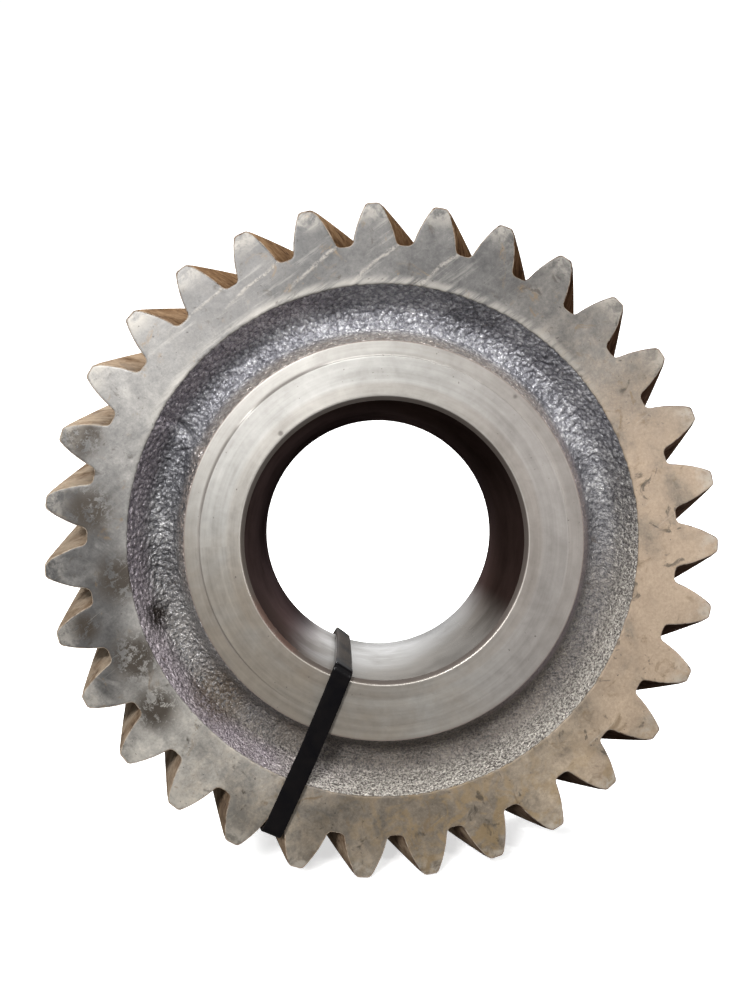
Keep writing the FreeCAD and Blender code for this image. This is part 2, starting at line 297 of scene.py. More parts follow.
def fold_height(place):
    """The lump and lap in the forged skin at the upper left of the front recess."""
    centre = polar(53.5, 149.5, FRONT + RECESS_DEPTH)
    away = place - centre
    inwards = away.dot(polar(1, 329, 0))
    round_way = away.dot(polar(1, 59, 0))
    bend = 0.55 * math.sin(inwards * 0.7) + 0.16 * inwards
    below = round_way + bend
    reach = math.exp(-((inwards / 5.6) ** 4))
    swell = math.exp(-(((below + 2.4) / 2.6) ** 2)) * smooth(0.7, -0.5, below)
    lap = math.exp(-(((below - 0.40) / 0.55) ** 2))
    lumps = 0.9 * noise.noise(place / 1.5 + Vector((3.0, 3.0, 3.0))) * swell
    return reach * (1.45 * float(swell) - 1.35 * lap) + float(lumps) * reach


def forged_rings(profile, twist, columns, folds):
    """Rings of a recess, from one machined edge to the other, with the forged skin's relief.
    At its edges the relief only moves the edge sideways, as where a flat cut meets the skin."""
    slope = np.gradient(profile, axis=0)
    slope /= np.hypot(*slope.T)[:, None]
    side = 1 if profile[len(profile) // 2, 1] > profile[0, 1] else -1
    rings = []
    last = len(profile) - 1
    for i, ((radius, along), way) in enumerate(zip(profile, slope)):
        normal = np.array([-way[1], way[0]])
        if normal[1] * side > 0:
            normal = -normal
        ring = circle(radius, along, columns, twist)
        outward = circle(1.0, 0.0, columns, twist)
        edge = min(i, last - i)
        heights = []
        for p in ring:
            place = Vector(p)
            height = skin_height(place)
            if folds:
                height += fold_height(place)
            heights.append(height)
        heights = np.array(heights)
        if edge < 2:
            normal = np.array([normal[0], 0.0]) * (0.9 if edge else 0.7)
        ring = ring + outward * (normal[0] * heights)[:, None]
        ring[:, 1] += normal[1] * heights
        rings.append(ring)
    return rings


def recess_profile(face, side, step):
    """From the rim's edge to the hub's edge. side is +1 where the recess goes towards +Y."""
    floor = face + side * RECESS_DEPTH
    hub_face = FRONT if side > 0 else HUB_BACK
    hub_depth = abs(floor - hub_face)
    draft = HUB_DRAFT * hub_depth / RECESS_DEPTH
    floor_hub_r = HUB_R + min(draft, HUB_DRAFT)
    corners = [
        (RECESS_R, face + side * 0.25, 0),
        (RECESS_R - RIM_DRAFT, floor, RECESS_FILLET),
        (floor_hub_r, floor, RECESS_FILLET),
        (HUB_R, hub_face + side * 0.45, 0),
    ]
    return rounded_profile(corners, step)


def bore_edge(count):
    """A small raised burr on part of the bore's front edge."""
    burr = np.zeros(count)
    for i in range(count):
        turn = 90 + i * 360 / count
        turn %= 360
        window = smooth(201, 208, turn) * (1 - smooth(226, 233, turn))
        ragged = 0.5 + 0.8 * noise.noise(Vector((turn * 0.55, 3.0, 0.0)))
        burr[i] = window * max(0.0, ragged) * 0.30
    return burr


def hub_step(count):
    """How deep the step on the hub's front face is. Round the bottom it has worn away."""
    turns = 90 + np.arange(count) * 360 / count
    return STEP * (1 - 0.92 * smooth(205, 240, turns) * (1 - smooth(335, 375, turns)))


def lip_ring(edge, out, along):
    """A ring on a flat face, this far outside the edge of its recess."""
    away = edge.copy()
    away[:, 1] = 0
    ring = edge + away / np.linalg.norm(away, axis=1)[:, None] * out
    ring[:, 1] = along
    return ring


def gear_mesh():
    rings = Rings()
    flat, inward, breaks = outline()
    rim, flank, skin, hub, bore = range(5)

    count = COLUMNS // 2
    burr = bore_edge(count)
    drop = hub_step(count)
    rings.add(circle(BORE_R - burr * 0.7, FRONT + BORE_CHAMFER - 0.05, count), bore)
    for radius, along in (
        (BORE_R + 0.45 - burr * 0.6, 0.5 - burr * 0.5),
        (BORE_R + BORE_CHAMFER - 0.08, 0.06),
        (BORE_R + BORE_CHAMFER + 0.08, 0.0),
        (BORE_R + BORE_CHAMFER + 0.3, 0.0),
        (39.0, 0.0),
        (STEP_R - 0.35, 0.0),
        (STEP_R - 0.12, 0.0),
        (STEP_R, drop * 0.2),
        (STEP_R + 0.12, drop * 0.84),
        (STEP_R + 0.25, drop),
        (STEP_R + 0.5, drop),
        (HUB_R - 0.65, drop),
        (HUB_R - 0.4, drop),
        (HUB_R - 0.15, drop + 0.07),
    ):
        rings.add(circle(radius, FRONT + along, count), hub)
    front = forged_rings(recess_profile(FRONT, 1, 0.45)[::-1], 0.0, COLUMNS, True)
    for ring in front:
        rings.add(ring, skin)
    for out, along in ((0.10, FRONT + 0.07), (0.30, FRONT), (0.60, FRONT)):
        rings.add(lip_ring(front[-1], out, along), rim)
    inset = flat + inward * breaks[:, None]
    shelf = turned(flat + inward * (breaks + 0.4)[:, None], FRONT, 0)
    rings.add((lip_ring(front[-1], 0.30, FRONT) + shelf) / 2, rim)
    rings.add(shelf, rim)
    rings.add(turned(inset, FRONT, 0), rim)
    ridge = flat + inward * (breaks * 0.28)[:, None]
    rings.add(turned(ridge, FRONT + breaks * 0.28, 0), flank)
    rings.add(turned(flat, FRONT + breaks, 0), flank)
    for along in np.linspace(FRONT + 2.5, RIM_BACK - 2.5, 7):
        rings.add(turned(flat, along, TWIST * (along - FRONT)), flank)
    twist = TWIST * (RIM_BACK - FRONT)
    rings.add(turned(flat, RIM_BACK - breaks, twist), flank)
    rings.add(turned(ridge, RIM_BACK - breaks * 0.28, twist), flank)
    back_edge = turned(inset, RIM_BACK, twist)
    rings.add(back_edge, flank)
    back = forged_rings(recess_profile(RIM_BACK, -1, 1.0), twist, COLUMNS // 2, False)
    lip = lip_ring(back[0], 0.30, RIM_BACK)
    fine_lip = np.empty((COLUMNS, 3))
    fine_lip[0::2] = lip
    fine_lip[1::2] = (lip + np.roll(lip, -1, 0)) / 2
    rings.add(back_edge * 0.55 + fine_lip * 0.45, rim)
    rings.add(lip, rim)
    for i, ring in enumerate(back):
        rings.add(ring, skin if i else rim)
    count = COLUMNS // 4
    for radius, along in (
        (HUB_R - 0.25, HUB_BACK - STEP - 0.08),
        (HUB_R - 0.5, HUB_BACK - STEP),
        (STEP_R + 0.05, HUB_BACK - STEP),
        (STEP_R - 0.05, HUB_BACK),
        (38.5, HUB_BACK),
        (BORE_R + BORE_CHAMFER + 0.08, HUB_BACK),
        (BORE_R + BORE_CHAMFER - 0.08, HUB_BACK - 0.08),
        (BORE_R + 0.05, HUB_BACK - BORE_CHAMFER + 0.05),
    ):
        rings.add(circle(radius, along, count, twist), hub)
    rings.add(circle(BORE_R, HUB_BACK - BORE_CHAMFER - 0.1, count, twist), bore)
    for along in (14.0, 5.0, -5.0, -14.0):
        share = (HUB_BACK - along) / (HUB_BACK - FRONT)
        rings.add(circle(BORE_R, along, count, twist * (1 - share)), bore)
    rings.close(bore)
    return rings


# ---------------------------------------------------------------- cable tie
STRAP_W = 4.8
STRAP_T = 1.3
GAP_TURN = 90 + 13.5 * 360 / TEETH
STRAP_SEAT = 73.1 + STRAP_T / 2
OVER_FACE = 0.1 + STRAP_T / 2
TWIST_DEGREES = math.degrees(TWIST)
BACK_TURN = GAP_TURN - TWIST_DEGREES * (RIM_BACK - FRONT)
TAIL_TURN = GAP_TURN - 0.6
HEAD_R = 54.6
HEAD_LIFT = 2.2
HEAD_SIZE = Vector((7.0, 8.2, 5.0))
SLOT_AT = -1.2
SLOT_BEND = 1.5
UNDER_HEAD = -0.4 - STRAP_T
TAIL_TOP = HEAD_SIZE.z - STRAP_T / 2 + 3.5
CORNER = 1.6
BORE_IN_TURN = 249.9
BORE_OUT_TURN = 248.4


def head_frame():
    """Middle of the head's root line, and its directions along the strap, across it and out."""
    outer = polar(STRAP_SEAT - CORNER, BACK_TURN, RIM_BACK + OVER_FACE)
    hub = polar(HUB_R, TAIL_TURN, HUB_BACK + HEAD_LIFT)
    share = (STRAP_SEAT - CORNER - HEAD_R) / (STRAP_SEAT - CORNER - HUB_R)
    centre = outer + (hub - outer) * share
    along = (outer - centre).normalized()
    across = along.cross(Vector((0, 1, 0))).normalized()
    out = across.cross(along).normalized()
    return centre, along, across, out


HEAD, HEAD_ALONG, HEAD_ACROSS, HEAD_OUT = head_frame()


def on_head(along, out, across=0.0):
    return HEAD + HEAD_ALONG * along + HEAD_OUT * out + HEAD_ACROSS * across


def sideways(turn, lean=0.0):
    """Across the strap where it lies round the bore or the rim, leaning in at its left edge."""
    aside = polar(1, turn + 90, 0)
    return aside * math.cos(math.radians(lean)) + polar(1, turn, 0) * math.sin(math.radians(lean))


def strap_route():
    """Corners of the strap's middle line: place, bend radius, and direction across the strap."""
    front_in = polar(31.9, BORE_IN_TURN, FRONT - OVER_FACE)
    front_out = polar(STRAP_SEAT, GAP_TURN, FRONT - OVER_FACE)
    run = (front_in - front_out).normalized()
    front_side = run.cross(Vector((0, -1, 0)))
    hub_edge = polar(HUB_R + 0.1, TAIL_TURN, HUB_BACK + OVER_FACE)
    back_in = polar(32.3, BORE_OUT_TURN, HUB_BACK + OVER_FACE)
    back_run = (hub_edge - back_in).normalized()
    back_side = back_run.cross(Vector((0, 1, 0)))
    route = [
        (on_head(HEAD_SIZE.x / 2 - 0.4, 0), 0, HEAD_ACROSS),
        (polar(STRAP_SEAT, BACK_TURN, RIM_BACK + OVER_FACE), CORNER, HEAD_ACROSS),
    ]
    for along in (10.0, 2.0, -6.0, -14.0):
        turn = GAP_TURN - TWIST_DEGREES * (along - FRONT)
        lean = sideways(turn) * math.cos(HELIX) + Vector((0, math.sin(HELIX), 0))
        route.append((polar(STRAP_SEAT, turn, along), 6.0, lean))
    route += [
        (front_out, CORNER, front_side),
        (polar(52.0, 248.2, FRONT - OVER_FACE - 0.15), 30.0, front_side),
        (polar(40.0, 249.1, FRONT - OVER_FACE - 0.05), 12.0, front_side + Vector((0, 0.06, 0))),
        (front_in, 1.25, sideways(BORE_IN_TURN, 14)),
        (polar(31.75, 249.8, FRONT + 6), 8.0, sideways(249.8, 20)),
        (polar(31.8, 249.3, 4.0), 20.0, sideways(249.3, 22)),
        (back_in, 1.6, sideways(BORE_OUT_TURN, 17)),
        (hub_edge, 4.0, back_side),
        (on_head(SLOT_AT, UNDER_HEAD), SLOT_BEND, HEAD_ACROSS),
        (on_head(SLOT_AT, TAIL_TOP), 0, HEAD_ACROSS),
    ]
    return route


def walk(route, spacing):
    """Places along the route with its corners rounded, and the direction across at each."""
    places = [route[0][0]]
    sides = [route[0][2]]
    for (before, _, _), (here, radius, side), (after, _, _) in zip(route, route[1:], route[2:]):
        a, b = (before - here), (after - here)
        reach_limit = min(a.length, b.length) * 0.48
        a.normalize()
        b.normalize()
        half = a.angle(b) / 2
        reach = min(radius / math.tan(half), reach_limit)
        radius = reach * math.tan(half)
        centre = here + (a + b).normalized() * (radius / math.sin(half))
        first, last = here + a * reach - centre, here + b * reach - centre
        sweep = first.angle(last)
        steps = max(2, int(math.degrees(sweep) / 9))
        for i in range(steps + 1):
            places.append(centre + arc_way(first, last, sweep, i / steps))
            sides.append(side)
    places.append(route[-1][0])
    sides.append(route[-1][2])
    dense, dense_sides = [places[0]], [sides[0]]
    for k in range(1, len(places)):
        gap = (places[k] - places[k - 1]).length
        steps = max(1, int(math.ceil(gap / spacing)))
        for i in range(1, steps + 1):
            t = i / steps
            ease = t * t * (3 - 2 * t)
            dense.append(places[k - 1].lerp(places[k], t))
            dense_sides.append(sides[k - 1].lerp(sides[k], ease))
    return dense, dense_sides


def strap_section(tooth):
    """Half-rounded section, across and out. tooth is how deep the ladder is cut inside."""
    w, t, r = STRAP_W / 2, STRAP_T / 2, 0.38
    crown = [(1.0, t + 0.03), (0.0, t + 0.05), (-1.0, t + 0.03)]
    ladder = [(-1.55, -t), (-1.45, -t + tooth), (1.45, -t + tooth), (1.55, -t)]
    section = []
    for cx, cy, start, flat_side in (
        (w - r, t - r, 0, crown),
        (-w + r, t - r, 90, []),
        (-w + r, -t + r, 180, ladder),
        (w - r, -t + r, 270, []),
    ):
        for i in range(4):
            turn = math.radians(start + 30 * i)
            section.append((cx + r * math.cos(turn), cy + r * math.sin(turn)))
        section += flat_side
    return section


def strap_mesh():
    """The whole strap, from the head's outer side round to the trimmed end in the slot."""
    places, sides = walk(strap_route(), 0.62)
    length = np.r_[0, np.cumsum([(b - a).length for a, b in zip(places, places[1:])])]
    pitch = 1.24
    rows = []
    for k, (place, side) in enumerate(zip(places, sides)):
        ahead = places[min(k + 1, len(places) - 1)] - places[max(k - 1, 0)]
        ahead.normalize()
        side = (side - ahead * side.dot(ahead)).normalized()
        out = side.cross(ahead)
        toothed = smooth(38.0, 40.0, length[k]) * (1 - smooth(-3.0, -2.0, length[k] - length[-1]))
        phase = (length[k] / pitch) % 1
        tooth = 0.06 + 0.30 * phase * float(toothed)
        wave = noise.noise(place / 6.0) * 0.05
        rows.append([place + side * a + out * (b + wave) for a, b in strap_section(tooth)])
    return rows


def capped(rows):
    """Points and faces of rows of equal length joined into a tube, with both ends closed."""
    count = len(rows[0])
    points = [p for row in rows for p in row]
    faces = [(a, d, c, b) for a, b, c, d in tube_faces(len(rows), count)]
    faces.append(tuple(range(count)))
    last = (len(rows) - 1) * count
    faces.append(tuple(range(last + count - 1, last - 1, -1)))
    return points, faces


def head_mesh_object(name, points, faces, bevel=0.0, segments=3):
    """A solid given in the head's own along, across and out directions, with rounded edges."""
    placed = [on_head(p[0], p[2], p[1]) for p in points]
    item = mesh_object(name, placed, faces, [NYLON])
    if bevel:
        softened = item.modifiers.new("soft_edges", "BEVEL")
        softened.width = bevel * MM
        softened.segments = segments
        softened.angle_limit = math.radians(25)
    return item


def tapered_box(along, across, out, flare):
    """Eight corners between two spans each way. flare widens the two ends of the out span."""
    points = []
    for level, grow in zip(out, flare):
        low_a, high_a = along[0] - grow, along[1] + grow
        low_c, high_c = across[0] - grow, across[1] + grow
        points += [(low_a, low_c, level), (high_a, low_c, level)]
        points += [(high_a, high_c, level), (low_a, high_c, level)]
    rings = len(out)
    faces = [(3, 2, 1, 0)] + tube_faces(rings, 4)
    top = 4 * (rings - 1)
    faces.append((top, top + 1, top + 2, top + 3))
    return points, faces


def applied(item, name):
    """The object's mesh with its modifiers worked in, as a new object."""
    bpy.context.view_layer.update()
    graph = bpy.context.evaluated_depsgraph_get()
    mesh = bpy.data.meshes.new_from_object(item.evaluated_get(graph))
    made = bpy.data.objects.new(name, mesh)
    bpy.context.scene.collection.objects.link(made)
    mesh.polygons.foreach_set("use_smooth", [True] * len(mesh.polygons))
    mesh.set_sharp_from_angle(angle=math.radians(35))
    return made


def make_head():
    """The lock: a rounded block with a flared way through for the strap and the pawl's pocket."""
    half = HEAD_SIZE / 2
    low = -STRAP_T / 2
    high = HEAD_SIZE.z - STRAP_T / 2
    block = head_mesh_object(
        "head_block",
        *tapered_box(
            (-half.x, half.x),
            (-half.y, half.y),
            (low, low + 1.2, high - 1.0, high),
            (0.0, 0.0, -0.18, -0.45),
        ),
        bevel=0.55,
        segments=4,
    )
    play = 0.2
    slot = head_mesh_object(
        "head_slot",
        *tapered_box(
            (SLOT_AT - STRAP_T / 2 - play, SLOT_AT + STRAP_T / 2 + play),
            (-STRAP_W / 2 - play, STRAP_W / 2 + play),
            (low - 1.0, low + 0.5, high - 0.55, high + 1.0),
            (0.75, 0.0, 0.0, 0.8),
        ),
    )
    pocket = head_mesh_object(
        "head_pocket",
        *tapered_box(
            (SLOT_AT, SLOT_AT + 3.2), (-1.85, 1.85), (0.2, high - 0.4, high + 1.0), (0.0, 0.0, 0.35)
        ),
    )
    for cutter in (slot, pocket):
        cut = block.modifiers.new("opening", "BOOLEAN")
        cut.operation = "DIFFERENCE"
        cut.solver = "EXACT"
        cut.object = cutter
    head = applied(block, "tie_head_moulding")
    for scrap in (block, slot, pocket):
        bpy.data.objects.remove(scrap)
    return head


def make_pawl():
    """The locking tongue, with three teeth towards the strap."""
    near = SLOT_AT + STRAP_T / 2 + 0.15
    root = near + 0.75
    floor = 0.35
    profile = [(root, floor), (root - 0.28, floor + 0.75)]
    for k in range(3):
        level = floor + 1.05 + 0.6 * k
        profile.append((near + 0.04 * (2 - k), level))
        profile.append((near + 0.22 + 0.04 * (2 - k), level + 0.36))
    profile += [(root + 0.1, floor + 3.0), (root + 0.55, floor + 2.9), (root + 1.15, floor)]
    count = len(profile)
    points = [(a, side * 1.7, o) for side in (-1, 1) for a, o in profile]
    faces = [tuple(range(count)), tuple(range(2 * count - 1, count - 1, -1))]
    for i in range(count):
        j = (i + 1) % count
        faces.append((j, i, count + i, count + j))
    blank = head_mesh_object("pawl_blank", points, faces, bevel=0.07, segments=2)
    pawl = applied(blank, "tie_pawl_tongue")
    bpy.data.objects.remove(blank)
    return pawl


# ---------------------------------------------------------------- materials
class Shade:
    """One material, built node by node. Its coordinates are millimetres in the row frame."""

    def __init__(self, name):
        self.material = bpy.data.materials.new(name)
        self.material.use_nodes = True
        self.tree = self.material.node_tree
        self.tree.nodes.clear()
        out = self.tree.nodes.new("ShaderNodeOutputMaterial")
        self.shader = self.tree.nodes.new("ShaderNodeBsdfPrincipled")
        self.tree.links.new(self.shader.outputs[0], out.inputs[0])
        coords = self.tree.nodes.new("ShaderNodeTexCoord")
        self.place = self.scaled(coords.outputs["Object"], 1 / MM)
        parts = self.node("ShaderNodeSeparateXYZ", self.place).outputs
        self.x, self.y, self.z = parts[0], parts[1], parts[2]
        squares = self.add(self.times(self.x, self.x), self.times(self.z, self.z))
        self.radius = self.math("SQRT", squares)
        self.turn = self.math("ARCTAN2", self.z, self.x)

    def put(self, socket, value):
        if isinstance(value, bpy.types.NodeSocket):
            self.tree.links.new(value, socket)
        elif isinstance(value, tuple) and len(socket.default_value) > len(value):
            socket.default_value = (*value, 1)
        else:
            socket.default_value = value

    def node(self, kind, *values, **settings):
        made = self.tree.nodes.new(kind)
        for key, value in settings.items():
            setattr(made, key, value)
        for socket, value in zip(made.inputs, values):
            if value is not None:
                self.put(socket, value)
        return made

    def math(self, operation, first, *others):
        """The operation worked through the values two at a time."""
        result = first
        for other in others or (None,):
            result = self.node("ShaderNodeMath", result, other, operation=operation).outputs[0]
        return result

    def add(self, *values):
        return self.math("ADD", *values)

    def times(self, *values):
        return self.math("MULTIPLY", *values)

    def most(self, *values):
        return self.math("MAXIMUM", *values)

    def scaled(self, vector, factor):
        made = self.node("ShaderNodeVectorMath", operation="SCALE")
        self.put(made.inputs[0], vector)
        made.inputs["Scale"].default_value = factor
        return made.outputs[0]

    def vector(self, x, y, z):
        return self.node("ShaderNodeCombineXYZ", x, y, z).outputs[0]

    def noise(self, size, detail=3.0, rough=0.55, bend=0.0, at=None, shift=0.0):
        """Cloudy values from about 0.25 to 0.75. size is the size of a cloud in millimetres."""
        place = at or self.place
        if shift:
            place = self.node("ShaderNodeVectorMath", place, (shift, -shift, shift)).outputs[0]
        made = self.node("ShaderNodeTexNoise")
        self.put(made.inputs["Vector"], place)
        made.inputs["Scale"].default_value = 1 / size
        made.inputs["Detail"].default_value = detail
        made.inputs["Roughness"].default_value = rough
        made.inputs["Distortion"].default_value = bend
        return made.outputs[0]

    def cells(self, size, at):
        """Distance from the middles of round cells of this size, with soft borders."""
        made = self.node("ShaderNodeTexVoronoi", feature="SMOOTH_F1")
        self.put(made.inputs["Vector"], at)
        made.inputs["Scale"].default_value = 1 / size
        made.inputs["Smoothness"].default_value = 0.5
        return made.outputs["Distance"]

    def step(self, value, low, high):
        """0 at low, 1 at high, soft between, and the other way round where high is below low."""
        made = self.node("ShaderNodeMapRange", value, low, high, interpolation_type="SMOOTHSTEP")
        return made.outputs[0]

    def region(self, amount, *shares, **spans):
        """This amount where each named coordinate is past the second value of its span."""
        steps = [self.step(getattr(self, name), *span) for name, span in spans.items()]
        return self.times(*steps, *shares, amount)

    def ramp(self, value, *stops):
        made = self.node("ShaderNodeValToRGB", value)
        band = made.color_ramp
        while len(band.elements) < len(stops):
            band.elements.new(0.5)
        for element, (position, colour) in zip(band.elements, stops):
            element.position = position
            element.color = (*colour, 1)
        return made.outputs[0]

    def mix(self, share, a, b, blend="MIX"):
        made = self.node("ShaderNodeMix", data_type="RGBA", blend_type=blend)
        self.put(made.inputs["Factor"], share)
        self.put(made.inputs["A"], a)
        self.put(made.inputs["B"], b)
        return made.outputs["Result"]

    def dyed(self, colour):
        """The colour so far, multiplied by this one."""
        return self.mix(1.0, self.colour, colour, "MULTIPLY")

    def paint(self, share, colour):
        """Lays this share of a colour over the colour so far."""
        self.colour = self.mix(share, self.colour, colour)

    def tint(self, share, colour):
        """Multiplies this share of the colour so far by a colour."""
        self.paint(share, self.dyed(colour))

    def bump(self, height, depth):
        """height runs from 0 to 1, and depth is what that is in millimetres."""
        made = self.node("ShaderNodeBump")
        made.inputs["Strength"].default_value = 1.0
        made.inputs["Distance"].default_value = depth * MM
        self.put(made.inputs["Height"], height)
        return made.outputs[0]

    def near(self, degrees, radius, along, size):
        """1 at one place on the gear, falling to 0 at this distance from it."""
        centre = tuple(polar(radius, degrees, along))
        gap = self.node("ShaderNodeVectorMath", self.place, centre, operation="DISTANCE")
        return self.step(gap.outputs["Value"], size, size * 0.25)

    def finish(self, **sockets):
        for name, value in sockets.items():
            self.put(self.shader.inputs[name.replace("_", " ")], value)
        return self.material


# The drag marks run at this angle, each from its own gap's root. The first of them starts here.
DRAG_DEGREES = 34
DRAG_START_DEGREES = 96.9
DRAG_START_R = 70.3


def across_faces(s, degrees):
    """How far along and how far aside of a line at this angle on the faces a place is."""
    c, q = math.cos(math.radians(degrees)), math.sin(math.radians(degrees))
    return s.add(s.times(s.x, c), s.times(s.z, q)), s.add(s.times(s.x, -q), s.times(s.z, c))


def streaks(s, degrees, wide, long, shift):
    """Fine lines that run at this angle across the faces."""
    run, aside = across_faces(s, degrees)
    at = s.vector(s.times(run, 1 / long), s.times(s.y, 0.2), s.times(aside, 1 / wide))
    return s.noise(1.0, 4.0, 0.6, 0.3, at=at, shift=shift)


def drag_marks(s, run, aside):
    """Marks that run down to the left from the gap roots along the top of the rim."""
    marks = 0.0
    for k in range(-2, 4):
        turn = math.radians(DRAG_START_DEGREES - DRAG_DEGREES) + k * TURN
        end = DRAG_START_R * math.cos(turn)
        back = s.most(s.add(s.times(run, -1), end), 0.0)
        bend = s.times(s.add(s.noise(6.0, 3.0, 0.6, shift=k), -0.5), 2.2)
        curve = s.times(back, back, 0.006)
        off = s.math("ABSOLUTE", s.add(aside, bend, curve, -DRAG_START_R * math.sin(turn)))
        line = s.times(s.step(off, 0.60, 0.05), s.step(run, end + 1.2, end - 0.6))
        line = s.times(line, s.step(back, 21.0, 9.0))
        marks = s.most(marks, line)
    return marks


# Oily marks on the left of the rim: angle, radius and size.
OIL_MARKS = (
    (186, 63.0, 8.5), (159, 75.0, 7.5), (172, 69.5, 8.5), (203, 64.5, 9.0), (194, 73.0, 5.0),
    (214, 66.5, 8.0),
)


def rim_material():
    s = Shade("rim_steel")
    cloud = s.noise(17.0, 5.0, 0.55, 0.9)
    mottle = s.noise(3.4, 6.0, 0.70, 0.35, shift=11.0)
    grain = s.noise(0.30, 3.0, 0.6)
    speck = s.noise(0.60, 3.0, 0.7, shift=19.0)
    run, aside = across_faces(s, DRAG_DEGREES)
    mark = drag_marks(s, run, aside)
    combed_at = s.vector(s.times(aside, 0.60), s.times(run, 0.05), s.times(s.y, 0.2))
    combed = s.noise(1.0, 5.0, 0.65, at=combed_at)
    fine = streaks(s, 37, 0.30, 20.0, 8.0)
    patina = s.noise(1.2, 5.0, 0.75, 0.8, shift=71.0)
    mixed = s.add(
        s.times(cloud, 0.36), s.times(mottle, 0.26), s.times(patina, 0.18),
        s.times(combed, 0.07), s.times(speck, 0.13),
    )
    s.colour = s.ramp(
        mixed,
        (0.40, (0.140, 0.135, 0.128)),
        (0.47, (0.215, 0.206, 0.194)),
        (0.53, (0.290, 0.277, 0.259)),
        (0.60, (0.400, 0.380, 0.352)),
    )
    # Painted shade: the rim face darker along the top; on the left, darker in cloudy patches.
    top = s.times(s.step(s.z, 38, 60), s.step(s.x, 66, 25), s.step(s.x, -66, -34))
    left = s.times(s.step(s.x, -58, -66), s.step(cloud, 0.38, 0.52), s.step(s.z, 42, 20), 1.15)
    darker_top_and_left = s.most(top, left)
    s.tint(s.times(darker_top_and_left, 0.85), (0.34, 0.34, 0.35))
    # Painted light: the rim face lighter at the lower left and the lower right.
    lower_left = s.region(0.9, x=(-12, -40), z=(-20, -50))
    lower_right = s.region(0.6, x=(15, 40), z=(-20, -50))
    painted_light_low = s.most(lower_left, lower_right)
    s.tint(painted_light_low, (1.60, 1.57, 1.50))
    # Painted shade: the rim face darker along the bottom.
    bottom = s.region(0.6, z=(-54, -64), x=(34, 8))
    s.tint(bottom, (0.66, 0.66, 0.64))
    # Painted shade: the rim face darker at the upper right.
    upper_right_shade = s.region(0.9, x=(22, 40), z=(8, 34))
    s.tint(upper_right_shade, (0.76, 0.74, 0.72))
    swept = s.times(s.step(s.z, 34, 48), s.step(s.x, 40, 18))
    combs = s.times(swept, s.step(combed, 0.56, 0.66), 0.22)
    s.paint(combs, (0.400, 0.378, 0.340))
    marks = s.times(swept, mark, s.step(patina, 0.36, 0.56), s.step(s.x, -58, -30), 0.62)
    marks = s.times(marks, s.step(s.radius, 72, 70))
    s.paint(marks, (0.370, 0.340, 0.300))
    lip_worn = s.region(0.55, s.step(combed, 0.38, 0.54), z=(10, 45))
    lip = s.times(s.step(s.radius, 63.2, 61.4), lip_worn)
    s.paint(lip, (0.400, 0.375, 0.335))
    warm_way = s.add(s.times(s.x, 0.009), s.times(s.z, -0.008), s.times(mottle, 0.8), -0.25)
    warmth = s.times(s.step(warm_way, 0.0, 0.75), 0.8)
    s.tint(warmth, (1.0, 0.83, 0.64))
    tan = s.times(s.step(s.x, 30, 60), s.step(cloud, 0.30, 0.56), s.step(s.z, 44, 14), 0.62)
    s.paint(tan, s.mix(speck, (0.340, 0.240, 0.162), (0.600, 0.455, 0.325)))
    gold_at = s.step(s.noise(5.0, 5.0, 0.65, 0.8, shift=83.0), 0.46, 0.60)
    gold = s.times(gold_at, s.step(s.z, -42, -66), s.step(s.x, -30, 20), 0.55)
    s.paint(gold, (0.330, 0.225, 0.105))
    rust = s.times(s.step(s.noise(7.0, 5.0, 0.7, 1.2, shift=31.0), 0.58, 0.70), 0.65)
    s.paint(rust, (0.190, 0.130, 0.072))
    dark = s.times(s.step(s.noise(4.5, 4.0, 0.65, 0.7, shift=47.0), 0.60, 0.70), 0.75)
    s.paint(dark, (0.060, 0.050, 0.040))
    oil = 0.0
    for turn, radius, size in OIL_MARKS:
        oil = s.most(oil, s.near(turn, radius, FRONT, size))
    stained = s.times(oil, s.step(s.add(s.times(patina, 0.5), s.times(mottle, 0.5)), 0.44, 0.505))
    s.paint(s.times(stained, 0.95), (0.045, 0.034, 0.024))
    tips = s.region(0.50, s.step(mottle, 0.40, 0.60), radius=(73.5, 79.0))
    s.paint(tips, (0.480, 0.445, 0.390))
    bright = s.times(s.step(fine, 0.64, 0.76), 0.22)
    s.paint(bright, (0.56, 0.53, 0.48))
    pits = s.times(s.step(s.noise(0.8, 2.0, 0.5, 0.2, shift=5.0), 0.71, 0.77), 0.7)
    s.paint(pits, (0.06, 0.05, 0.045))
    rough = s.add(s.times(mottle, 0.30), s.times(speck, 0.12), 0.26)
    height = s.add(
        s.times(grain, 0.30), s.times(mottle, 0.35), s.times(speck, 0.35), s.times(fine, 0.15),
        s.times(combed, 0.10), s.times(marks, 0.5), s.times(pits, -0.8),
    )
    return s.finish(
        Base_Color=s.colour,
        Metallic=0.35,
        Roughness=rough,
        Normal=s.bump(height, 0.045),
    )


